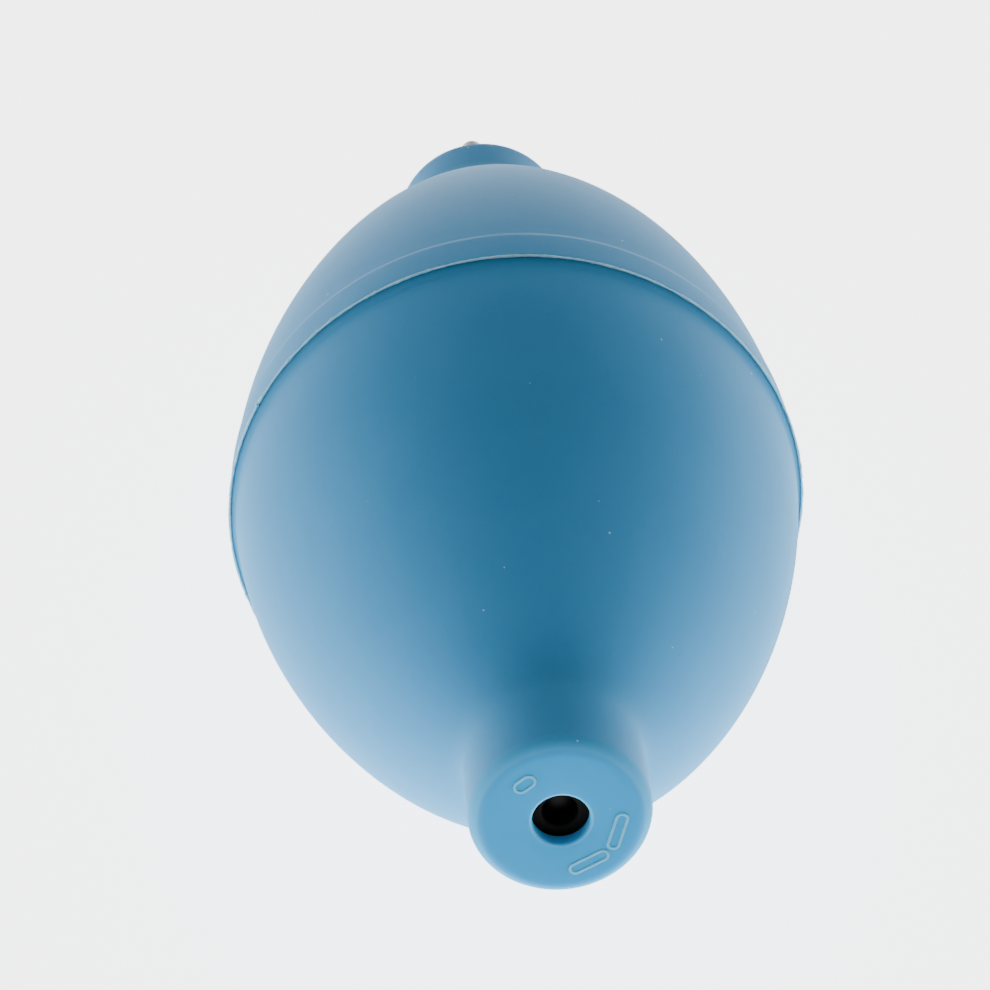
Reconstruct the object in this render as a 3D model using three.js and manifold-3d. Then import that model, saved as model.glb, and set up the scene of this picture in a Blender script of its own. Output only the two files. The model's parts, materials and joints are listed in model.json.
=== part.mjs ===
// Hand-squeezed dust blower for watch work: a two-part silicone bulb, a ball check valve in its rear
// neck that lets air in, and a plated nozzle in its front neck that blows it out.
// Millimetres, +Z up. The blower lies on its belly as it does on a bench: its axis is in the YZ plane,
// the nozzle points to +Y, and the nose dips until the centre of mass is over the flat it lies on.
// The origin is on the resting surface, under the middle of the blower.
import * as THREE from "three";
import { mergeVertices } from "three/addons/utils/BufferGeometryUtils.js";
import Module from "manifold-3d";

const wasm = await Module();
wasm.setup();

// ---- Driving sizes ----

const wall = 2.4; // silicone skin of the bulb
const seam = { radius: 26.9, step: 0.45 }; // radius of the rear half, and the front half's extra
const pocketClearance = 0.15; // between a neck pocket and the insert it grips
const bulbFacets = 24; // flats around the bulb
const insertFacets = 24; // flats around the valve and nozzle pieces
const domeSteps = 9; // stretches along the outside of each half

// Each half of the bulb is a dome that runs out into a neck, the dome measured from the seam.
const rearHalf = {
  seamRadius: seam.radius,
  domeLength: 44.4,
  domePower: 1.7,
  domeFullness: 0.64,
  neckRadius: 7.95,
  neckBlend: 7.8,
  neckLength: 7.1,
  endFillet: 1.5,
};
const frontHalf = {
  seamRadius: seam.radius + seam.step,
  domeLength: 58.6,
  domePower: 1.84,
  domeFullness: 0.7,
  neckRadius: 8.9,
  neckBlend: 3.3,
  neckLength: 5.9,
  endFillet: 2.4,
};

const lip = { thickness: 1.3, boreRadius: 2.5, edgeRound: 0.3 }; // turned-in end of each neck

// The front half laps over a tongue on the rear half, and the lap shows as a proud band.
const lap = { width: 5, proud: 0.15, tongueWall: 1.2, clearance: 0.15 };
const bead = { radius: 0.26, sides: 6, clearance: 0.08 }; // cured cement squeezed out of the lap

const insertRadius = 4; // of the valve and the ferrule, which the neck pockets grip
const gripGroove = { depth: 0.35, width: 1.2, pitch: 2.6, count: 3 };

const valve = {
  portLength: 1.9,
  mouthChamfer: 0.3,
  chamberWall: 0.55, // between the chamber and the bottom of the grip grooves
  ballGap: 0.7, // for the air to pass round the ball
  ballLift: 1.2,
  seatLand: 0.2, // of the seat cone, between the port and where the ball touches
  seatClearance: 0.1,
  rim: 0.2, // of the body, beyond the cage
};
const cage = {
  length: 2.2,
  floor: 0.8,
  clearance: 0.1,
  skirtWall: 0.7,
  centreHole: 0.5, // radius
  holeRadius: 0.65,
  holes: 4,
};

const ferrule = { barrelLength: 10, stemLength: 5, stemClearance: 0.12, chamfer: 0.5 };
const tube = {
  outerRadius: 1.25,
  boreRadius: 0.75,
  reach: 15,
  clearance: 0.1,
  tailInset: 1,
  tipChamfer: 0.25,
};

// ---- Sizes that follow ----

const rearLength = rearHalf.domeLength + rearHalf.neckLength;
const frontLength = frontHalf.domeLength + frontHalf.neckLength;
const pocketRadius = insertRadius + pocketClearance;
const valveMouthAt = -(rearLength - lip.thickness - pocketClearance);
const ferruleShoulderAt = frontLength - lip.thickness - pocketClearance;

const chamberRadius = insertRadius - gripGroove.depth - valve.chamberWall;
const ballRadius = chamberRadius - valve.ballGap;
const seatTouch = ballRadius * Math.SQRT1_2; // where the ball meets its 45 degree seat cone
const portRadius = seatTouch - valve.seatLand;
const ballAt = valve.portLength + valve.seatLand + seatTouch + valve.seatClearance;
const cageFloorAt = ballAt + ballRadius + valve.ballLift + cage.clearance;
const valveLength = cageFloorAt + cage.length + valve.rim;

// ---- Materials, each with its density in g/cm3 ----

function finish(color, roughness, metalness, density) {
  const material = new THREE.MeshStandardMaterial({ color, roughness, metalness });
  material.userData.density = density;
  return material;
}

const silicone = finish(0x3f87b4, 0.55, 0, 1.2);
const cement = finish(0x7ab8d8, 0.4, 0, 1.2);
const acetal = finish(0x121212, 0.35, 0, 1.1);
const nitrile = finish(0x1b1a19, 0.6, 0, 1.2);
const nickelPlate = finish(0xb9b4ac, 0.25, 1, 8.5);
const stainless = finish(0x9fa2a6, 0.3, 1, 7.85);

// ---- Shaping helpers ----

// A closed section turned about Y. Outline points are [radius, y] in order round the section.
function turned(outline, facets) {
  const area = outline.reduce((sum, [r, y], i) => {
    const [nextR, nextY] = outline[(i + 1) % outline.length];
    return sum + r * nextY - nextR * y;
  }, 0);
  const ordered = area > 0 ? outline : [...outline].reverse();
  const points = [...ordered, ordered[0]].map(([r, y]) => new THREE.Vector2(r, y));
  return new THREE.LatheGeometry(points, facets, Math.PI / facets);
}

// Points of a round corner, from one angle to another about a centre, both ends included.
function arc([centreR, centreY], radius, fromAngle, toAngle, steps) {
  return Array.from({ length: steps + 1 }, (_, i) => {
    const angle = fromAngle + ((toAngle - fromAngle) * i) / steps;
    return [centreR + radius * Math.cos(angle), centreY + radius * Math.sin(angle)];
  });
}

// The radius of a half at a distance from the seam: a dome that blends into a straight neck. The
// blend adds a little at the seam, so the dome is made smaller by as much.
function bulbRadius(half, distance, seamRadius, domeLength, neckRadius) {
  const blend = half.neckBlend;
  const domeRadius = (seamRadius ** blend - neckRadius ** blend) ** (1 / blend);
  const share = Math.min(distance / domeLength, 1);
  const dome = domeRadius * (1 - share ** half.domePower) ** half.domeFullness;
  return (dome ** blend + neckRadius ** blend) ** (1 / blend);
}

function outerRadius(half, distance) {
  return bulbRadius(half, distance, half.seamRadius, half.domeLength, half.neckRadius);
}

function innerRadius(half, distance) {
  return bulbRadius(half, distance, half.seamRadius - wall, half.domeLength - wall, pocketRadius);
}

// Distances along a dome, closer together towards its end, where it turns fastest.
function stations(from, to, steps) {
  const quarter = Math.PI / 2;
  return Array.from({ length: steps + 1 }, (_, i) => from + (to - from) * Math.sin((i / steps) * quarter));
}

// The outline of a half outside its lap, from the seam over the neck and back along the inside.
function halfOutline(half, length, outsideFrom, insideFrom) {
  const outside = stations(outsideFrom, half.domeLength, domeSteps);
  const inside = stations(insideFrom, half.domeLength - wall, domeSteps - 2);
  const filletCentre = [half.neckRadius - half.endFillet, length - half.endFillet];
  const edgeCentre = [lip.boreRadius + lip.edgeRound, length - lip.edgeRound];
  return [
    ...outside.map((y) => [outerRadius(half, y), y]),
    ...arc(filletCentre, half.endFillet, 0, Math.PI / 2, 4),
    ...arc(edgeCentre, lip.edgeRound, Math.PI / 2, Math.PI, 2),
    [lip.boreRadius, length - lip.thickness],
    [pocketRadius, length - lip.thickness],
    ...inside.reverse().map((y) => [innerRadius(half, y), y]),
  ];
}

// The grip grooves of an insert, as outline points along its barrel from a station onwards.
function grooves(from) {
  const rings = Array.from({ length: gripGroove.count }, (_, i) => from + i * gripGroove.pitch);
  return rings.flatMap((y) => [
    [insertRadius, y],
    [insertRadius - gripGroove.depth, y],
    [insertRadius, y + gripGroove.width],
  ]);
}

function mesh(name, geometry, material) {
  const made = new THREE.Mesh(geometry, material);
  made.name = name;
  return made;
}

// ---- Bulb ----

function rearBulbHalf() {
  const shoulder = lap.clearance / 2;
  const tongueInner = innerRadius(rearHalf, 0);
  const skin = halfOutline(rearHalf, rearLength, shoulder, 0);
  const tongue = [
    [tongueInner, -(lap.width - lap.clearance)],
    [tongueInner + lap.tongueWall, -(lap.width - lap.clearance)],
    [tongueInner + lap.tongueWall, shoulder],
  ];
  // Distances run towards the inlet, which faces -Y.
  return turned([...skin, ...tongue].map(([r, y]) => [r, -y]), bulbFacets);
}

function frontBulbHalf() {
  const socketRadius = innerRadius(rearHalf, 0) + lap.tongueWall + lap.clearance;
  const skin = halfOutline(frontHalf, frontLength, lap.width, lap.width);
  const skirt = [
    [socketRadius, lap.width],
    [socketRadius, 0],
    [frontHalf.seamRadius + lap.proud, 0],
    [outerRadius(frontHalf, lap.width / 2) + lap.proud, lap.width / 2],
    [outerRadius(frontHalf, lap.width) + lap.proud, lap.width - lap.proud],
  ];
  return turned([...skin, ...skirt], bulbFacets);
}

function seamCementBead() {
  const centre = [rearHalf.seamRadius + bead.clearance + bead.radius, -(bead.radius + bead.clearance)];
  return turned(arc(centre, bead.radius, 0, 2 * Math.PI, bead.sides).slice(0, -1), bulbFacets);
}

// ---- Inlet valve, measured from its mouth towards the nozzle ----

function inletValveBody() {
  return turned(
    [
      [portRadius + valve.mouthChamfer, 0],
      [insertRadius - valve.mouthChamfer, 0],
      [insertRadius, valve.mouthChamfer],
      ...grooves(gripGroove.pitch / 2),
      [insertRadius, valveLength],
      [chamberRadius, valveLength],
      [chamberRadius, valve.portLength + chamberRadius - portRadius],
      [portRadius, valve.portLength],
      [portRadius, valve.mouthChamfer],
    ],
    insertFacets,
  );
}

function inletValveBall() {
  return new THREE.SphereGeometry(ballRadius, insertFacets, insertFacets / 2);
}

// A merged copy of a geometry as a solid that can be cut.
function solid(geometry) {
  const bare = geometry.clone();
  bare.deleteAttribute("normal");
  bare.deleteAttribute("uv");
  const merged = mergeVertices(bare, 1e-4);
  return new wasm.Manifold(
    new wasm.Mesh({
      numProp: 3,
      vertProperties: merged.attributes.position.array,
      triVerts: new Uint32Array(merged.index.array),
    }),
  );
}

function geometryOf(cutSolid) {
  const { vertProperties, triVerts } = cutSolid.getMesh();
  const geometry = new THREE.BufferGeometry();
  geometry.setAttribute("position", new THREE.BufferAttribute(vertProperties, 3));
  geometry.setIndex(new THREE.BufferAttribute(triVerts, 1));
  return geometry;
}

// A cup that closes the valve chamber: its floor stops the ball, and air passes the holes in it.
function inletValveCage() {
  const cupRadius = chamberRadius - cage.clearance;
  const insideRadius = cupRadius - cage.skirtWall;
  const cup = turned(
    [
      [cage.centreHole, 0],
      [cupRadius, 0],
      [cupRadius, cage.length],
      [insideRadius, cage.length],
      [insideRadius, cage.floor],
      [cage.centreHole, cage.floor],
    ],
    insertFacets,
  );
  const holeCircle = (cage.centreHole + insideRadius) / 2;
  let cut = solid(cup);
  for (let i = 0; i < cage.holes; i += 1) {
    const angle = (2 * Math.PI * i) / cage.holes;
    const drill = new THREE.CylinderGeometry(cage.holeRadius, cage.holeRadius, 3 * cage.floor, 12);
    drill.translate(holeCircle * Math.cos(angle), cage.floor / 2, holeCircle * Math.sin(angle));
    cut = cut.subtract(solid(drill));
  }
  return geometryOf(cut);
}

// ---- Nozzle, measured from its shoulder behind the front lip towards the tip ----

function nozzleFerrule() {
  const stemRadius = lip.boreRadius - ferrule.stemClearance;
  const bore = tube.outerRadius + tube.clearance;
  const stemEnd = frontLength - ferruleShoulderAt + ferrule.stemLength;
  return turned(
    [
      [bore, -ferrule.barrelLength],
      ...grooves(-ferrule.barrelLength + gripGroove.pitch / 2),
      [insertRadius, 0],
      [stemRadius, 0],
      [stemRadius, stemEnd - ferrule.chamfer],
      [stemRadius - ferrule.chamfer, stemEnd],
      [bore, stemEnd],
    ],
    insertFacets,
  );
}

function nozzleTube() {
  const tail = -ferrule.barrelLength + tube.tailInset;
  const tip = frontLength - ferruleShoulderAt + tube.reach;
  const tipChamfer = Math.min(tube.tipChamfer, (tube.outerRadius - tube.boreRadius) / 2);
  return turned(
    [
      [tube.boreRadius, tail],
      [tube.outerRadius, tail],
      [tube.outerRadius, tip - tipChamfer],
      [tube.outerRadius - tipChamfer, tip],
      [tube.boreRadius, tip],
    ],
    insertFacets,
  );
}

// ---- Assembly ----

const bulb = new THREE.Group();
bulb.add(
  mesh("rear_bulb_half", rearBulbHalf(), silicone),
  mesh("front_bulb_half", frontBulbHalf(), silicone),
  mesh("seam_cement_bead", seamCementBead(), cement),
);

const ball = mesh("inlet_valve_ball", inletValveBall(), nitrile);
ball.position.y = ballAt;
const cageMesh = mesh("inlet_valve_cage", inletValveCage(), acetal);
cageMesh.position.y = cageFloorAt;
const inletValve = new THREE.Group();
inletValve.position.y = valveMouthAt;
inletValve.add(mesh("inlet_valve_body", inletValveBody(), acetal), ball, cageMesh);

const nozzle = new THREE.Group();
nozzle.position.y = ferruleShoulderAt;
nozzle.add(
  mesh("nozzle_ferrule", nozzleFerrule(), nickelPlate),
  mesh("nozzle_tube", nozzleTube(), stainless),
);

const blower = new THREE.Group();
blower.add(bulb, inletValve, nozzle);

// ---- Rest on a surface ----

// How far the centre of mass lies ahead of the seam, from the tetrahedra under every triangle.
function balancePoint() {
  let mass = 0;
  let moment = 0;
  blower.updateMatrixWorld(true);
  blower.traverse((piece) => {
    if (!piece.isMesh) return;
    const corners = piece.geometry.toNonIndexed().applyMatrix4(piece.matrixWorld).attributes.position;
    for (let i = 0; i < corners.count; i += 3) {
      const [a, b, c] = [i, i + 1, i + 2].map((k) => new THREE.Vector3().fromBufferAttribute(corners, k));
      const share = (piece.material.userData.density * a.dot(b.clone().cross(c))) / 6;
      mass += share;
      moment += (share * (a.y + b.y + c.y)) / 4;
    }
  });
  return moment / mass;
}

// The nose-down angle at which the centre of mass is over the flat of the front half that it lies on.
function restAngle() {
  const balance = balancePoint();
  const flatToCentre = Math.cos(Math.PI / bulbFacets);
  const rings = stations(lap.width, frontHalf.domeLength, domeSteps);
  const heights = rings.map((y) => outerRadius(frontHalf, y) * flatToCentre);
  for (let i = 0; i < domeSteps; i += 1) {
    const run = rings[i + 1] - rings[i];
    const angle = Math.atan2(heights[i] - heights[i + 1], run);
    const footAlongFlat = (balance - rings[i]) * Math.cos(angle) + heights[i] * Math.sin(angle);
    if (footAlongFlat < run / Math.cos(angle)) return angle;
  }
  return 0;
}

blower.rotation.x = -restAngle();
const box = new THREE.Box3().setFromObject(blower, true);
const middle = box.getCenter(new THREE.Vector3());
blower.position.set(-middle.x, -middle.y, -box.min.z);

export default blower;
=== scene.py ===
import json
from math import cos, hypot, pi, radians, sin
from random import Random

import bpy
from mathutils import Matrix, Vector


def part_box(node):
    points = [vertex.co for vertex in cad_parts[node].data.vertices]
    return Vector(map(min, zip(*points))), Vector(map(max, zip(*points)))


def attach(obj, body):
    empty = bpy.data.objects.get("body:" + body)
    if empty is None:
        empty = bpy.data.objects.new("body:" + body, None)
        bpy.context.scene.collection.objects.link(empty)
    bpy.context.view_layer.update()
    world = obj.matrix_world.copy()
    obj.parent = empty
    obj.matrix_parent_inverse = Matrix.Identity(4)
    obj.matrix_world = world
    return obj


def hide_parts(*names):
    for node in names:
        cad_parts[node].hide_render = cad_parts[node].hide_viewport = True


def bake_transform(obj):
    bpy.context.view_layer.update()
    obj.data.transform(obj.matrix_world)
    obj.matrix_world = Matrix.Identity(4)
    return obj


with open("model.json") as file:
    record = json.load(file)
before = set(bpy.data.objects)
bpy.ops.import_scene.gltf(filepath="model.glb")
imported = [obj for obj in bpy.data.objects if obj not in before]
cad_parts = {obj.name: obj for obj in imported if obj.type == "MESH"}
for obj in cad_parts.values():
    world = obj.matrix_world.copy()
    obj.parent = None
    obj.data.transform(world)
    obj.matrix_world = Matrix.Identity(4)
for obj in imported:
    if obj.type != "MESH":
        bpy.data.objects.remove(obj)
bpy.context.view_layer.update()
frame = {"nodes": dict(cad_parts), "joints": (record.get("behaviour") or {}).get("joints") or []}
mm = 0.001
print("frame loaded")

# Everything is modelled along Y, with the seam at the origin and the nozzle towards +Y.
# layDown then puts a finished piece on the blower's real axis, nose down on its belly.
noseAxis = Vector(frame["joints"][0]["axis"]).normalized()
beadLow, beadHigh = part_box("seam_cement_bead")
beadCentre = (beadLow + beadHigh) / 2


def axisSpan(node):
    distances = [(v.co - beadCentre).dot(noseAxis) for v in frame["nodes"][node].data.vertices]
    return min(distances), max(distances)


def widestRadius(node):
    offsets = [v.co - beadCentre for v in frame["nodes"][node].data.vertices]
    return max((o - noseAxis * o.dot(noseAxis)).length for o in offsets)


seamPoint = beadCentre + noseAxis * axisSpan("front_bulb_half")[0]
seamShift = (seamPoint - beadCentre).dot(noseAxis)
rearLength = seamShift - axisSpan("rear_bulb_half")[0]
frontLength = axisSpan("front_bulb_half")[1] - seamShift
valveStart = axisSpan("inlet_valve_body")[0] - seamShift
valveEnd = axisSpan("inlet_valve_body")[1] - seamShift
ballCentre = sum(axisSpan("inlet_valve_ball")) / 2 - seamShift
cageStart = axisSpan("inlet_valve_cage")[0] - seamShift
cageEnd = axisSpan("inlet_valve_cage")[1] - seamShift
ferruleStart = axisSpan("nozzle_ferrule")[0] - seamShift
ferruleEnd = axisSpan("nozzle_ferrule")[1] - seamShift
tubeStart = axisSpan("nozzle_tube")[0] - seamShift
tubeEnd = axisSpan("nozzle_tube")[1] - seamShift
rearRadius = widestRadius("rear_bulb_half")
bandRadius = widestRadius("front_bulb_half")
insertRadius = widestRadius("inlet_valve_body")
ballRadius = widestRadius("inlet_valve_ball")
cageRadius = widestRadius("inlet_valve_cage")
tubeRadius = widestRadius("nozzle_tube")

layTurn = Vector((0, 1, 0)).rotation_difference(noseAxis).to_matrix().to_4x4()
layMatrix = Matrix.Translation(seamPoint) @ layTurn


def deselectAll():
    if bpy.context.object and bpy.context.object.mode != "OBJECT":
        bpy.ops.object.mode_set(mode="OBJECT")
    bpy.ops.object.select_all(action="DESELECT")


def layDown(piece):
    deselectAll()
    piece.select_set(True)
    bpy.context.view_layer.objects.active = piece
    piece.matrix_world = layMatrix @ piece.matrix_world
    bpy.ops.object.transform_apply(location=True, rotation=True, scale=True)


def applyModifiers(piece):
    deselectAll()
    piece.select_set(True)
    bpy.context.view_layer.objects.active = piece
    for modifier in list(piece.modifiers):
        bpy.ops.object.modifier_apply(modifier=modifier.name)


def smooth(piece, degrees=35):
    deselectAll()
    piece.select_set(True)
    bpy.context.view_layer.objects.active = piece
    bpy.ops.object.shade_smooth_by_angle(angle=radians(degrees))


# An outline of (radius, distance) points is drawn by extruding one corner and is spun round Y.
def turnPiece(name, outline, steps):
    deselectAll()
    bpy.ops.mesh.primitive_plane_add(size=mm)
    piece = bpy.context.object
    piece.name = name
    piece.data.name = name
    bpy.ops.object.mode_set(mode="EDIT")
    bpy.ops.mesh.select_all(action="SELECT")
    bpy.ops.mesh.merge(type="CENTER")
    corners = [Vector((radius, distance, 0)) for radius, distance in outline]
    bpy.ops.transform.translate(value=corners[0])
    for here, there in zip(corners, corners[1:]):
        bpy.ops.mesh.extrude_region_move(TRANSFORM_OT_translate={"value": there - here})
    bpy.ops.mesh.select_all(action="SELECT")
    bpy.ops.mesh.spin(steps=steps, angle=2 * pi, center=(0, 0, 0), axis=(0, 1, 0))
    bpy.ops.mesh.select_all(action="SELECT")
    bpy.ops.mesh.remove_doubles(threshold=0.002 * mm)
    bpy.ops.mesh.normals_make_consistent(inside=False)
    bpy.ops.object.mode_set(mode="OBJECT")
    return piece


# Points of a round corner about a centre, from one angle in degrees to another.
def roundCorner(centre, radius, start, stop, steps=6):
    points = []
    for i in range(steps + 1):
        angle = radians(start + (stop - start) * i / steps)
        points.append((centre[0] + radius * cos(angle), centre[1] + radius * sin(angle)))
    return points


def domeRadius(shape, distance, seamRadius, domeLength, neckRadius):
    blend = shape["neckBlend"]
    dome = (seamRadius ** blend - neckRadius ** blend) ** (1 / blend)
    share = min(distance / domeLength, 1)
    dome *= (1 - share ** shape["domePower"]) ** shape["domeFullness"]
    return (dome ** blend + neckRadius ** blend) ** (1 / blend)


def outsideRadius(shape, distance):
    return domeRadius(shape, distance, shape["seamRadius"], shape["domeLength"], shape["neckRadius"])


def insideRadius(shape, distance):
    return domeRadius(shape, distance, shape["seamRadius"] - skin["wall"],
                      shape["domeLength"] - skin["wall"], skin["pocketRadius"])


# Distances along a dome, closer together towards its end, where it turns fastest.
def stations(start, stop, steps):
    return [start + (stop - start) * sin(pi / 2 * i / steps) for i in range(steps + 1)]


def toLinear(hexColour):
    channels = [int(hexColour[i:i + 2], 16) / 255 for i in (1, 3, 5)]
    linear = [c / 12.92 if c <= 0.04045 else ((c + 0.055) / 1.055) ** 2.4 for c in channels]
    return (*linear, 1)


# Adds a node. Settings are properties or input values, and links join inputs to other sockets.
def addNode(tree, kind, settings=None, links=None):
    node = tree.nodes.new(kind)
    for key, value in (settings or {}).items():
        if hasattr(node, key):
            setattr(node, key, value)
        else:
            node.inputs[key].default_value = value
    for key, socket in (links or {}).items():
        tree.links.new(socket, node.inputs[key])
    return node


def startMaterial(name, shader):
    material = bpy.data.materials.new(name)
    material.use_nodes = True
    tree = material.node_tree
    tree.nodes.clear()
    bsdf = addNode(tree, "ShaderNodeBsdfPrincipled", shader)
    addNode(tree, "ShaderNodeOutputMaterial", links={"Surface": bsdf.outputs["BSDF"]})
    coords = addNode(tree, "ShaderNodeTexCoord")
    # the pattern's own Y runs along the blower, and its origin is at the seam
    back = layMatrix.inverted()
    turned = addNode(tree, "ShaderNodeMapping", {"Location": back.to_translation(),
                     "Rotation": back.to_euler()}, {"Vector": coords.outputs["Object"]})
    return material, tree, bsdf, turned.outputs["Vector"]


# A few specks in space, seen only where the surface passes close to one. Stretched ones are lint.
def speckMask(tree, where, spacing, size, stretch):
    turned = addNode(tree, "ShaderNodeMapping", {"Rotation": (0.4, 0.9, 0.2), "Scale": stretch},
                     {"Vector": where})
    cell = addNode(tree, "ShaderNodeTexVoronoi", {"Scale": 1 / spacing},
                   {"Vector": turned.outputs["Vector"]})
    mask = addNode(tree, "ShaderNodeMapRange",
                   {"From Min": 0.6 * size / spacing, "From Max": size / spacing,
                    "To Min": 1, "To Max": 0},
                   {"Value": cell.outputs["Distance"]})
    return mask.outputs["Result"]


# Silicone rubber, compression moulded in a satin steel mould: an even blue with a soft sheen, a
# faint cloudiness from the pigment, a fine grain from the mould, and dust, which it always draws.
# The neck's round edge and flat end get painted light, because one shade greys there: a paler edge lifts
# its shaded fillet, and a more saturated blue stands in for the light on the end face.
# A satin mould's grain is only hundredths of a millimetre across, and is drawn coarser so that it shows.
blueSilicone = {
    "shade": "#3583b5", "paler": "#3e8dbe", "cloudSize": 11 * mm,
    "grainSize": 0.35 * mm, "grainDepth": 0.05 * mm, "lightDepth": 2.2 * mm,
    "roughness": 0.6, "gloss": 0.12, "glow": 0.5, "dust": "#a9cfe2", "grit": "#173a52",
    "edge": "#3c98c6", "face": "#0d80b3", "specks": 4.6 * mm, "speckSize": 0.115 * mm,
}


def siliconeMaterial(name, look):
    material, tree, bsdf, where = startMaterial(name, {
        "IOR": 1.41, "Specular IOR Level": look["gloss"], "Subsurface Weight": look["glow"],
        "Subsurface Scale": look["lightDepth"], "Subsurface Radius": (0.35, 0.7, 1.0)})
    cloud = addNode(tree, "ShaderNodeTexNoise", {"Scale": 1 / look["cloudSize"], "Detail": 3},
                    {"Vector": where})
    grain = addNode(tree, "ShaderNodeTexNoise", {"Scale": 1 / look["grainSize"], "Detail": 4},
                    {"Vector": where})
    colour = addNode(tree, "ShaderNodeMix", {"data_type": "RGBA"}, {"Factor": cloud.outputs["Fac"]})
    colour.inputs[6].default_value = toLinear(look["shade"])
    colour.inputs[7].default_value = toLinear(look["paler"])
    turned = addNode(tree, "ShaderNodeAttribute", {"attribute_name": "roundTheEdge"}).outputs["Fac"]
    edge = addNode(tree, "ShaderNodeFloatCurve", links={"Value": turned})
    # the painted light on the edge is strongest just short of the face, whose painted colour then takes
    # over
    edge.mapping.curves[0].points.new(0.8, 0.9)
    edge.mapping.curves[0].points.new(0.999, 0)
    edge.mapping.update()
    face = addNode(tree, "ShaderNodeMapRange", {"From Min": 0.85}, {"Value": turned})
    spacing = look["specks"]
    size = look["speckSize"]
    # the edge and face layers are painted light; the dust and grit specks are the rubber's own
    layers = [
        (look["edge"], edge.outputs["Value"]),
        (look["face"], face.outputs["Result"]),
        (look["dust"], speckMask(tree, where, spacing, size, (1, 1, 1))),
        (look["dust"], speckMask(tree, where, spacing * 0.7, size * 0.5, (1, 0.16, 1))),
        (look["grit"], speckMask(tree, where, spacing * 2.1, size * 1.1, (1.3, 1, 0.8))),
    ]
    for tint, mask in layers:
        layer = addNode(tree, "ShaderNodeMix", {"data_type": "RGBA"}, {"Factor": mask})
        tree.links.new(colour.outputs[2], layer.inputs[6])
        layer.inputs[7].default_value = toLinear(tint)
        colour = layer
    tree.links.new(colour.outputs[2], bsdf.inputs["Base Color"])
    rough = addNode(tree, "ShaderNodeMapRange", {"To Min": look["roughness"] - 0.05,
                    "To Max": look["roughness"] + 0.07}, {"Value": grain.outputs["Fac"]})
    tree.links.new(rough.outputs["Result"], bsdf.inputs["Roughness"])
    bump = addNode(tree, "ShaderNodeBump", {"Strength": 0.12, "Distance": look["grainDepth"]},
                   {"Height": grain.outputs["Fac"]})
    tree.links.new(bump.outputs["Normal"], bsdf.inputs["Normal"])
    return material


# Moulded acetal: black and nearly matt, with the faint flow marks of an as-moulded part.
def acetalMaterial():
    material, tree, bsdf, where = startMaterial("moulded_black_acetal", {
        "IOR": 1.48, "Specular IOR Level": 0.08})
    flow = addNode(tree, "ShaderNodeTexNoise", {"Scale": 1 / (0.8 * mm), "Detail": 3, "Distortion": 0.6},
                   {"Vector": where})
    colour = addNode(tree, "ShaderNodeMix", {"data_type": "RGBA"}, {"Factor": flow.outputs["Fac"]})
    colour.inputs[6].default_value = toLinear("#020202")
    colour.inputs[7].default_value = toLinear("#060404")
    tree.links.new(colour.outputs[2], bsdf.inputs["Base Color"])
    rough = addNode(tree, "ShaderNodeMapRange", {"To Min": 0.62, "To Max": 0.75},
                    {"Value": flow.outputs["Fac"]})
    tree.links.new(rough.outputs["Result"], bsdf.inputs["Roughness"])
    return material


# Nitrile rubber, ground to a ball: black and matt, with a fine grinding grain.
def nitrileMaterial():
    material, tree, bsdf, where = startMaterial("ground_black_nitrile", {
        "IOR": 1.52, "Specular IOR Level": 0.15})
    grain = addNode(tree, "ShaderNodeTexNoise", {"Scale": 1 / (0.12 * mm), "Detail": 4},
                    {"Vector": where})
    colour = addNode(tree, "ShaderNodeMix", {"data_type": "RGBA"}, {"Factor": grain.outputs["Fac"]})
    colour.inputs[6].default_value = toLinear("#070606")
    colour.inputs[7].default_value = toLinear("#0e0c0b")
    tree.links.new(colour.outputs[2], bsdf.inputs["Base Color"])
    rough = addNode(tree, "ShaderNodeMapRange", {"To Min": 0.5, "To Max": 0.7},
                    {"Value": grain.outputs["Fac"]})
    tree.links.new(rough.outputs["Result"], bsdf.inputs["Roughness"])
    bump = addNode(tree, "ShaderNodeBump", {"Strength": 0.3, "Distance": 0.02 * mm},
                   {"Height": grain.outputs["Fac"]})
    tree.links.new(bump.outputs["Normal"], bsdf.inputs["Normal"])
    return material


# Turned metal: the tool leaves fine rings round the part, which stretch its highlights.
def turnedMetal(name, dark, light, ringSpacing, roughness):
    material, tree, bsdf, where = startMaterial(name, {"Metallic": 1.0})
    rings = addNode(tree, "ShaderNodeTexWave", {
        "wave_type": "BANDS", "bands_direction": "Y", "Scale": 1 / (ringSpacing * mm * 20),
        "Distortion": 0.8, "Detail": 2}, {"Vector": where})  # 20 bands to a unit of scale
    tarnish = addNode(tree, "ShaderNodeTexNoise", {"Scale": 1 / (1.5 * mm), "Detail": 4},
                      {"Vector": where})
    colour = addNode(tree, "ShaderNodeMix", {"data_type": "RGBA"}, {"Factor": tarnish.outputs["Fac"]})
    colour.inputs[6].default_value = toLinear(dark)
    colour.inputs[7].default_value = toLinear(light)
    tree.links.new(colour.outputs[2], bsdf.inputs["Base Color"])
    rough = addNode(tree, "ShaderNodeMapRange", {"To Min": roughness, "To Max": roughness + 0.12},
                    {"Value": tarnish.outputs["Fac"]})
    tree.links.new(rough.outputs["Result"], bsdf.inputs["Roughness"])
    bump = addNode(tree, "ShaderNodeBump", {"Strength": 0.25, "Distance": 0.01 * mm},
                   {"Height": rings.outputs["Fac"]})
    tree.links.new(bump.outputs["Normal"], bsdf.inputs["Normal"])
    return material


def dress(piece, material):
    piece.data.materials.clear()
    piece.data.materials.append(material)


silicone = siliconeMaterial("moulded_blue_silicone", blueSilicone)
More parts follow.
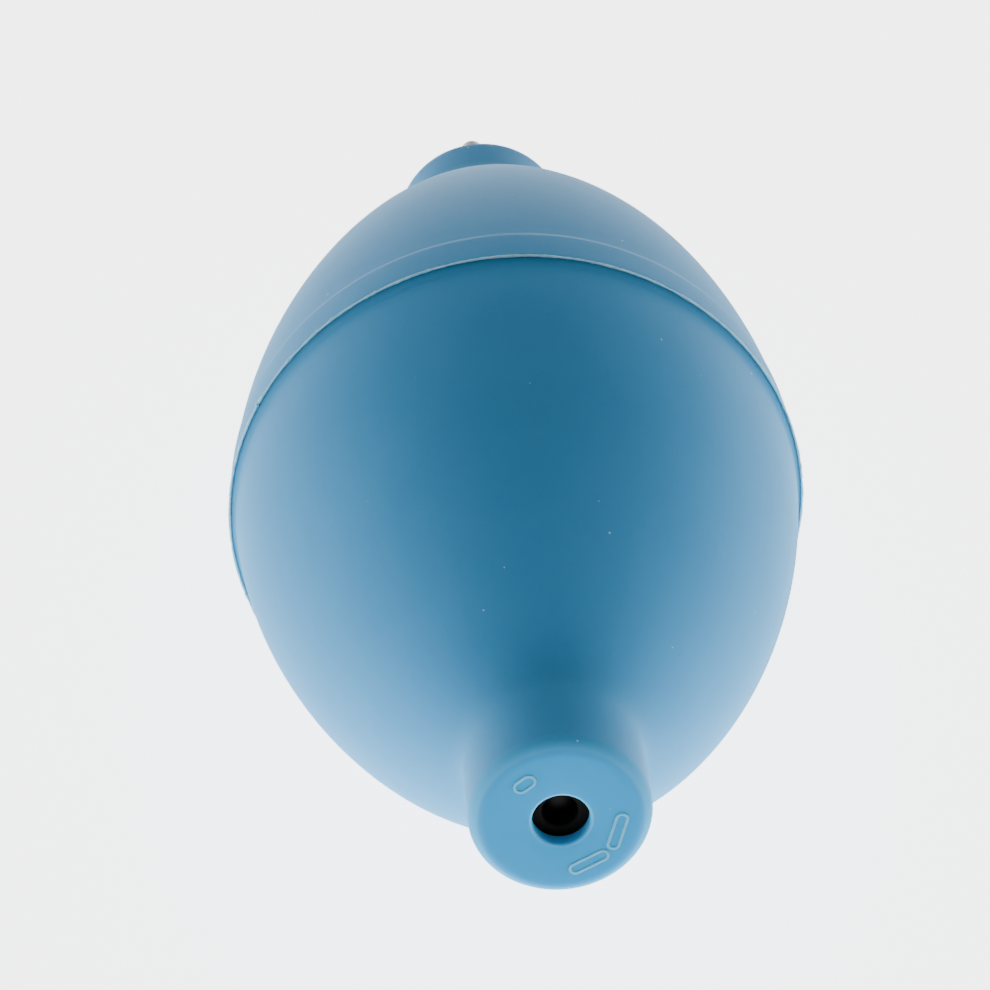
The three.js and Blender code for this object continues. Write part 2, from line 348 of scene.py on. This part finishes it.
# the raised marks are the same rubber in a paler shade, a painted highlight for the light their raised
# lines catch
markHighlightSilicone = siliconeMaterial("blue_silicone_painted_highlight", {
    **blueSilicone, "shade": "#4597c9", "paler": "#58a5d2",
    "cloudSize": 1.2 * mm, "speckSize": 0.02 * mm})
# the cement's pale blue and near-white flecks are partly its own pale translucent colour and partly a
# painted highlight for the bright line its thin ridge catches
cement = siliconeMaterial("cured_silicone_cement", {
    **blueSilicone, "shade": "#52a8dc", "paler": "#b2e0f7", "cloudSize": 1.5 * mm, "speckSize": 0.02 * mm,
    "roughness": 0.5, "glow": 0.5})
acetal = acetalMaterial()
nitrile = nitrileMaterial()
nickel = turnedMetal("turned_brass_with_nickel_plate", "#a9a49b", "#c9c4ba", 0.12, 0.18)
steel = turnedMetal("drawn_stainless_steel", "#5a504a", "#7d736b", 0.3, 0.26)
print("materials made")


skin = {"wall": 2.4 * mm, "pocketRadius": insertRadius + 0.15 * mm, "turns": 192,
        "lip": 1.3 * mm, "holeRadius": 2.5 * mm, "holeRound": 0.3 * mm,
        "lean": 0.3 * mm, "leanReach": 30 * mm,
        "leanBack": 0.18 * mm, "backReach": 24 * mm, "backAt": 36 * mm}
lap = {"width": 5 * mm, "tongueWall": 1.2 * mm, "clearance": 0.15 * mm}


# The end of a neck: a fillet, the flat face, the round edge of the hole and the pocket behind the lip.
def neckEnd(shape, length):
    fillet = shape["endFillet"]
    hole = skin["holeRadius"]
    edge = skin["holeRound"]
    return [
        *roundCorner((shape["neckRadius"] - fillet, length - fillet), fillet, 0, 90, 12),
        ((shape["neckRadius"] - fillet + hole) / 2, length),
        *roundCorner((hole + edge, length - edge), edge, 90, 180, 6),
        (hole, length - skin["lip"]),
        (skin["pocketRadius"], length - skin["lip"]),
    ]


rear = {"seamRadius": rearRadius, "domeLength": 44.4 * mm, "domePower": 1.7, "domeFullness": 0.64,
        "neckRadius": 7.95 * mm, "neckBlend": 7.8, "endFillet": 1.5 * mm,
        "seamRise": 0.42 * mm, "seamFillet": 1.2 * mm}


def makeRearHalf():
    # the skin rises to the front half's edge in a hollow fillet
    def skinRadius(distance):
        share = max(0, 1 - distance / rear["seamFillet"])
        return outsideRadius(rear, distance) + rear["seamRise"] * share ** 2

    tongueInner = insideRadius(rear, 0)
    tongueEnd = -(lap["width"] - lap["clearance"])
    filletSteps = [rear["seamFillet"] * i / 8 for i in range(8)]
    outside = filletSteps + stations(rear["seamFillet"], rear["domeLength"], 46)
    inside = stations(0, rear["domeLength"] - skin["wall"], 24)[::-1]
    outline = [(skinRadius(d), d) for d in outside]
    outline += neckEnd(rear, rearLength)
    outline += [(insideRadius(rear, d), d) for d in inside]
    outline += [(tongueInner, tongueEnd), (tongueInner + lap["tongueWall"], tongueEnd),
                (tongueInner + lap["tongueWall"], 0), outline[0]]
    piece = turnPiece("rear_bulb_skin", [(r, -d) for r, d in outline], skin["turns"])
    smooth(piece, 40)
    # 0 on the side of the neck, rising round its fillet to 1 on the end face, less at the hole's edge
    # this mask places the painted light on the neck's round edge and end face
    roundTheEdge = piece.data.attributes.new("roundTheEdge", "FLOAT", "POINT")
    for corner, share in zip(piece.data.vertices, roundTheEdge.data):
        depth = corner.co.y + rearLength
        reach = hypot(corner.co.x, corner.co.z)
        share.value = max(0, 1 - depth / rear["endFillet"])
        if reach < skin["holeRadius"] + 0.9 * skin["holeRound"]:
            share.value = 0.8 if depth < skin["lip"] / 2 else 0
        elif reach < rear["neckRadius"] - 1.1 * rear["endFillet"] and depth > 0.1 * mm:
            share.value = 0
    return piece


front = {"seamRadius": bandRadius - 0.15 * mm, "domeLength": 58.6 * mm, "domePower": 1.84,
         "domeFullness": 0.7, "neckRadius": 8.9 * mm, "neckBlend": 3.3, "endFillet": 2.4 * mm,
         "bandProud": 0.13 * mm, "edgeRound": 0.12 * mm, "bandRound": 0.5 * mm}


def makeFrontHalf():
    socketRadius = insideRadius(rear, 0) + lap["tongueWall"] + lap["clearance"]
    edge = front["edgeRound"]
    band = lap["width"]

    # the lap's band stands proud, and its front edge slopes softly down to the dome
    def skinRadius(distance):
        fade = min(max((distance - band + front["bandRound"]) / (2 * front["bandRound"]), 0), 1)
        return outsideRadius(front, distance) + front["bandProud"] * (1 - fade * fade * (3 - 2 * fade))

    bandSteps = [edge + (band - front["bandRound"] - edge) * i / 6 for i in range(6)]
    rollSteps = [band + front["bandRound"] * (0.2 * i - 1) for i in range(10)]
    outside = bandSteps + rollSteps + stations(band + front["bandRound"], front["domeLength"], 48)
    inside = stations(band, front["domeLength"] - skin["wall"], 24)[::-1]
    outline = roundCorner((skinRadius(edge) - edge, edge), edge, 270, 360, 5)[:-1]
    outline += [(skinRadius(d), d) for d in outside]
    outline += neckEnd(front, frontLength)
    outline += [(insideRadius(front, d), d) for d in inside]
    outline += [(socketRadius, band), (socketRadius, 0), outline[0]]
    piece = turnPiece("front_bulb_skin", outline, skin["turns"])
    smooth(piece, 40)
    return piece


# Silicone cement that squeezed out along the lap: a thin ragged line with torn crumbs of flash.
bead = {"radius": 0.115 * mm, "offset": 0.03 * mm, "steps": 900, "crumbs": 34, "crumbSize": 0.13 * mm}


def makeSeamBead():
    ringRadius = bandRadius - 0.02 * mm
    ring = roundCorner((ringRadius, -bead["offset"]), bead["radius"], 0, 360, 8)
    piece = turnPiece("seam_cement_line", ring, bead["steps"])
    for size, depth in ((1.7, 0.13), (0.45, 0.1)):
        texture = bpy.data.textures.new("ragged", "CLOUDS")
        texture.noise_scale = size * mm
        texture.noise_depth = 2
        ragged = piece.modifiers.new("ragged", "DISPLACE")
        ragged.texture = texture
        ragged.texture_coords = "LOCAL"
        ragged.strength = depth * mm
        ragged.mid_level = 0.5
    applyModifiers(piece)
    draw = Random(7)
    reach = ringRadius + 0.05 * mm
    crumbs = []
    for i in range(bead["crumbs"]):
        angle = draw.uniform(0, 2 * pi)
        radius = bead["crumbSize"] * draw.uniform(0.5, 1.3)
        along = -bead["offset"] + draw.uniform(-0.1, 0.1) * mm
        turn = (draw.uniform(0, pi), -angle, draw.uniform(0, pi))
        stretch = (0.7, 0.8, draw.uniform(1, 1.9))
        deselectAll()
        bpy.ops.mesh.primitive_ico_sphere_add(
            subdivisions=2, radius=radius, rotation=turn, scale=stretch,
            location=(reach * cos(angle), along, reach * sin(angle)))
        crumbs.append(bpy.context.object)
    deselectAll()
    for crumb in crumbs:
        crumb.select_set(True)
    piece.select_set(True)
    bpy.context.view_layer.objects.active = piece
    bpy.ops.object.join()
    smooth(piece, 50)
    return piece


# Mould marks on the rear face: plain raised outlines, which say nothing.
faceMarks = {"line": 0.3 * mm, "height": 0.07 * mm, "sink": 0.1 * mm, "ring": 5.0 * mm,
             "marks": (("long_mark", 3.9 * mm, 1.25 * mm, -15, 75),  # length, width, place and turn
                       ("long_mark", 3.9 * mm, 1.25 * mm, -61, 29),
                       ("short_mark", 2.2 * mm, 1.4 * mm, 129, 39))}


def makeMark(name, length, width, angle, turn):
    deselectAll()
    centre = (faceMarks["ring"] * cos(radians(angle)), 0, faceMarks["ring"] * sin(radians(angle)))
    bpy.ops.mesh.primitive_plane_add(size=1)
    piece = bpy.context.object
    piece.name = name
    piece.data.name = name
    bpy.ops.object.mode_set(mode="EDIT")
    bpy.ops.mesh.select_all(action="SELECT")
    bpy.ops.transform.resize(value=(length, width, 1))
    bpy.ops.mesh.bevel(offset=width * 0.49, segments=10, affect="VERTICES")
    bpy.ops.mesh.select_all(action="SELECT")
    bpy.ops.mesh.inset(thickness=faceMarks["line"])
    bpy.ops.mesh.delete(type="FACE")
    bpy.ops.object.mode_set(mode="OBJECT")
    wall = piece.modifiers.new("wall", "SOLIDIFY")
    wall.thickness = faceMarks["height"] + faceMarks["sink"]
    wall.offset = 0
    edge = piece.modifiers.new("edge", "BEVEL")
    edge.width = faceMarks["line"] * 0.45
    edge.segments = 3
    applyModifiers(piece)
    # stood up on the rear face, which looks towards -Y
    piece.rotation_euler = (pi / 2, radians(-turn), 0)
    depth = rearLength + (faceMarks["height"] - faceMarks["sink"]) / 2
    piece.location = Vector(centre) - Vector((0, depth, 0))
    bpy.ops.object.transform_apply(location=True, rotation=True, scale=True)
    smooth(piece, 50)
    return piece


def makeFaceMarks():
    marks = [makeMark(*mark) for mark in faceMarks["marks"]]
    deselectAll()
    for mark in marks:
        mark.select_set(True)
    bpy.context.view_layer.objects.active = marks[0]
    bpy.ops.object.join()
    marks[0].name = "rear_face_mould_marks"
    return marks[0]


# The bulb isn't quite true: it stands a little to one side here and there.
def leanSideways(piece, centre, amount, reach):
    deselectAll()
    bpy.context.view_layer.objects.active = piece
    bpy.ops.object.mode_set(mode="EDIT")
    bpy.ops.mesh.select_mode(type="VERT")
    bpy.ops.mesh.select_all(action="DESELECT")
    bpy.ops.object.mode_set(mode="OBJECT")
    for corner in piece.data.vertices:
        corner.select = abs(corner.co.y - centre) < 0.8 * mm
    bpy.ops.object.mode_set(mode="EDIT")
    bpy.ops.transform.translate(value=(amount, 0, 0), use_proportional_edit=True,
                                proportional_edit_falloff="SMOOTH", proportional_size=reach)
    bpy.ops.object.mode_set(mode="OBJECT")


rearSkin = makeRearHalf()
frontSkin = makeFrontHalf()
seamBead = makeSeamBead()
for piece in (rearSkin, frontSkin, seamBead):
    leanSideways(piece, 0, -skin["lean"], skin["leanReach"])
leanSideways(frontSkin, skin["backAt"], skin["leanBack"], skin["backReach"])
marks = makeFaceMarks()
print("bulb made")


grooves = {"depth": 0.35 * mm, "width": 1.2 * mm, "pitch": 2.6 * mm, "count": 3}
valve = {"portRadius": 1.497 * mm, "mouthRound": 0.3 * mm, "portLength": 1.9 * mm,
         "chamberRadius": 3.1 * mm}


# Grip grooves: each one drops square and climbs back on a slope, so that a neck can't slide off.
def gripRings(start):
    points = []
    for i in range(grooves["count"]):
        edge = start + i * grooves["pitch"]
        points += [(insertRadius, edge - 0.06 * mm), (insertRadius - 0.06 * mm, edge),
                   (insertRadius - grooves["depth"], edge + 0.04 * mm),
                   (insertRadius - 0.03 * mm, edge + grooves["width"] - 0.1 * mm),
                   (insertRadius, edge + grooves["width"])]
    return points


def makeValveBody():
    port = valve["portRadius"]
    mouth = valve["mouthRound"]
    seatEnd = valveStart + valve["portLength"] + valve["chamberRadius"] - port
    outline = [
        *roundCorner((port + mouth, valveStart + mouth), mouth, 180, 270, 5),
        *roundCorner((insertRadius - mouth, valveStart + mouth), mouth, 270, 360, 5),
        *gripRings(valveStart + grooves["pitch"] / 2),
        *roundCorner((insertRadius - 0.15 * mm, valveEnd - 0.15 * mm), 0.15 * mm, 0, 90, 4),
        (valve["chamberRadius"] + 0.1 * mm, valveEnd), (valve["chamberRadius"], valveEnd - 0.1 * mm),
        (valve["chamberRadius"], seatEnd), (port, valveStart + valve["portLength"]),
        (port, valveStart + mouth),
    ]
    piece = turnPiece("inlet_valve_housing", outline, 96)
    smooth(piece, 30)
    return piece


def makeValveBall():
    # the ball's halves meet in a fine moulding line
    line = 0.03 * mm
    outline = roundCorner((0, ballCentre), ballRadius - line, -90, -3, 22)
    outline += [(ballRadius, ballCentre - line), (ballRadius, ballCentre + line)]
    outline += roundCorner((0, ballCentre), ballRadius - line, 3, 90, 22)
    piece = turnPiece("inlet_ball", outline, 64)
    smooth(piece, 30)
    return piece


cage = {"floor": 0.8 * mm, "wall": 0.7 * mm, "centreHole": 0.5 * mm, "holeRadius": 0.65 * mm, "holes": 4,
        "edge": 0.08 * mm}


def makeValveCage():
    inside = cageRadius - cage["wall"]
    edge = cage["edge"]
    outline = [
        (cage["centreHole"], cageStart),
        *roundCorner((cageRadius - edge, cageStart + edge), edge, 270, 360, 3),
        *roundCorner((cageRadius - edge, cageEnd - edge), edge, 0, 90, 3),
        *roundCorner((inside + edge, cageEnd - edge), edge, 90, 180, 3),
        (inside, cageStart + cage["floor"]), (cage["centreHole"], cageStart + cage["floor"]),
        (cage["centreHole"], cageStart),
    ]
    piece = turnPiece("inlet_ball_cage", outline, 96)
    for i in range(cage["holes"]):
        angle = 2 * pi * i / cage["holes"]
        ring = (cage["centreHole"] + inside) / 2
        deselectAll()
        bpy.ops.mesh.primitive_cylinder_add(
            vertices=32, radius=cage["holeRadius"], depth=3 * cage["floor"],
            location=(ring * cos(angle), cageStart + cage["floor"] / 2, ring * sin(angle)),
            rotation=(pi / 2, 0, 0))
        drill = bpy.context.object
        hole = piece.modifiers.new("hole", "BOOLEAN")
        hole.object = drill
        hole.operation = "DIFFERENCE"
        applyModifiers(piece)
        bpy.data.objects.remove(drill)
    smooth(piece, 30)
    return piece


valveBody = makeValveBody()
valveBall = makeValveBall()
valveCage = makeValveCage()
print("inlet valve made")


nozzle = {"stemRadius": 2.38 * mm, "chamfer": 0.5 * mm, "plugLength": 10 * mm,
          "bore": tubeRadius + 0.1 * mm, "ringGroove": 0.16 * mm, "grooveBack": 1.6 * mm,
          "tubeBore": 0.75 * mm, "tipRound": 0.2 * mm}


def makeFerrule():
    shoulder = ferruleStart + nozzle["plugLength"]
    stem = nozzle["stemRadius"]
    chamfer = nozzle["chamfer"]
    grooveAt = ferruleEnd - nozzle["grooveBack"]
    groove = nozzle["ringGroove"]
    outline = [
        (nozzle["bore"] + 0.2 * mm, ferruleStart), (insertRadius - 0.2 * mm, ferruleStart),
        (insertRadius, ferruleStart + 0.2 * mm),
        *gripRings(ferruleStart + grooves["pitch"] / 2),
        *roundCorner((insertRadius - 0.15 * mm, shoulder - 0.15 * mm), 0.15 * mm, 0, 90, 4),
        (stem, shoulder),
        (stem, grooveAt - 2 * groove), (stem - groove, grooveAt - groove),
        (stem - groove, grooveAt + groove), (stem, grooveAt + 2 * groove),
        (stem, ferruleEnd - chamfer - 0.05 * mm), (stem - 0.04 * mm, ferruleEnd - chamfer),
        (stem - chamfer, ferruleEnd - 0.04 * mm), (stem - chamfer - 0.05 * mm, ferruleEnd),
        (nozzle["bore"] + 0.12 * mm, ferruleEnd), (nozzle["bore"], ferruleEnd - 0.12 * mm),
        (nozzle["bore"], ferruleStart + 0.2 * mm), (nozzle["bore"] + 0.2 * mm, ferruleStart),
    ]
    piece = turnPiece("nozzle_holder", outline, 96)
    smooth(piece, 30)
    return piece


def makeTube():
    tip = nozzle["tipRound"]
    bore = nozzle["tubeBore"]
    outline = [
        (bore, tubeStart), (tubeRadius - 0.05 * mm, tubeStart), (tubeRadius, tubeStart + 0.05 * mm),
        *roundCorner((tubeRadius - tip, tubeEnd - tip), tip, 0, 90, 6),
        *roundCorner((bore + 0.1 * mm, tubeEnd - 0.1 * mm), 0.1 * mm, 90, 180, 4),
        (bore, tubeStart),
    ]
    piece = turnPiece("nozzle_pipe", outline, 64)
    smooth(piece, 30)
    return piece


ferrule = makeFerrule()
pipe = makeTube()
print("nozzle made")


dressing = [
    (rearSkin, silicone, "blue_silicone", "rear_bulb_half", None),
    (frontSkin, silicone, "blue_silicone", "front_bulb_half", "bulb"),
    (seamBead, cement, "silicone_cement", "seam_cement_bead", "bulb"),
    (marks, markHighlightSilicone, "blue_silicone", None, "inlet_end"),
    (valveBody, acetal, "black_acetal", "inlet_valve_body", "inlet_end"),
    (valveCage, acetal, "black_acetal", "inlet_valve_cage", "inlet_end"),
    (valveBall, nitrile, "black_nitrile", "inlet_valve_ball", "valve_ball"),
    (ferrule, nickel, "nickel_plate", "nozzle_ferrule", "bulb"),
    (pipe, steel, "stainless_steel", "nozzle_tube", "bulb"),
]
for piece, material, slot, node, body in dressing:
    layDown(piece)
    dress(piece, material)
    if node:
        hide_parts(node)
    if body:
        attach(piece, body)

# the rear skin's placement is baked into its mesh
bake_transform(rearSkin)
print("pieces placed on their bodies")


studio = {"floorSize": 6, "floorDrop": 0.33 * mm, "floorColour": "#f2f2f1", "floorGlow": 4.2,
          "horizon": 1.5, "horizonTop": 0.25, "overhead": 0.64, "cameraSide": 0.6,
          "sideLight": 0.45, "backLight": 0.15}

deselectAll()
bpy.ops.mesh.primitive_plane_add(size=studio["floorSize"], location=(0, 0, -studio["floorDrop"]))
floor = bpy.context.object
floor.name = "floor"
# an opal acrylic light table, which lights the blower from below
floorMaterial, floorTree, floorShader, floorWhere = startMaterial("opal_acrylic_table", {
    "Base Color": toLinear(studio["floorColour"]), "Roughness": 0.7,
    "Emission Color": (1, 1, 1, 1), "Emission Strength": studio["floorGlow"]})
dress(floor, floorMaterial)

# the room is brightest at the level of the table, and dark overhead and around the camera
world = bpy.data.worlds.new("studio")
bpy.context.scene.world = world
world.use_nodes = True
room = world.node_tree
room.nodes.clear()
direction = addNode(room, "ShaderNodeSeparateXYZ", links={
    "Vector": addNode(room, "ShaderNodeTexCoord").outputs["Generated"]})
height = addNode(room, "ShaderNodeMapRange", {
    "interpolation_type": "SMOOTHSTEP", "From Min": 0, "From Max": studio["horizonTop"],
    "To Min": studio["horizon"], "To Max": studio["overhead"]}, {"Value": direction.outputs["Z"]})
depth = addNode(room, "ShaderNodeMapRange", {
    "From Min": -1, "From Max": 1, "To Min": studio["cameraSide"], "To Max": 1.0},
    {"Value": direction.outputs["Y"]})
strength = addNode(room, "ShaderNodeMath", {"operation": "MULTIPLY"})
room.links.new(height.outputs["Result"], strength.inputs[0])
room.links.new(depth.outputs["Result"], strength.inputs[1])
glow = addNode(room, "ShaderNodeBackground", {"Color": (1, 1, 1, 1)},
               {"Strength": strength.outputs["Value"]})
addNode(room, "ShaderNodeOutputWorld", links={"Surface": glow.outputs["Background"]})


def softBox(name, location, size, power):
    deselectAll()
    bpy.ops.object.light_add(type="AREA", location=location)
    light = bpy.context.object
    light.name = name
    light.data.shape = "RECTANGLE"
    light.data.size, light.data.size_y = size
    light.data.energy = power
    light.rotation_euler = (Vector((0, 0, 0.03)) - Vector(location)).to_track_quat("-Z", "Y").to_euler()
    return light


softBox("left_soft_box", (-0.7, 0.1, 0.25), (0.7, 0.5), studio["sideLight"])
softBox("right_soft_box", (0.7, 0.1, 0.25), (0.7, 0.5), studio["sideLight"])
softBox("back_soft_box", (0, 0.8, 0.4), (1.0, 0.5), studio["backLight"])

# The camera stands behind the inlet and above the axis. Its place and aim are measured from the seam.
view = {"lens": 147.87, "place": (-23.5, -333.9, 199.6), "aim": (0.0543, 0.8592, -0.5088)}

deselectAll()
bpy.ops.object.camera_add()
camera = bpy.context.object
camera.data.lens = view["lens"]
camera.data.sensor_width = 36
camera.data.clip_start = 0.01
camera.matrix_world = (layMatrix @ Matrix.Translation(Vector(view["place"]) * mm)
                       @ Vector(view["aim"]).to_track_quat("-Z", "Y").to_matrix().to_4x4())
bpy.context.scene.camera = camera
print("studio ready")
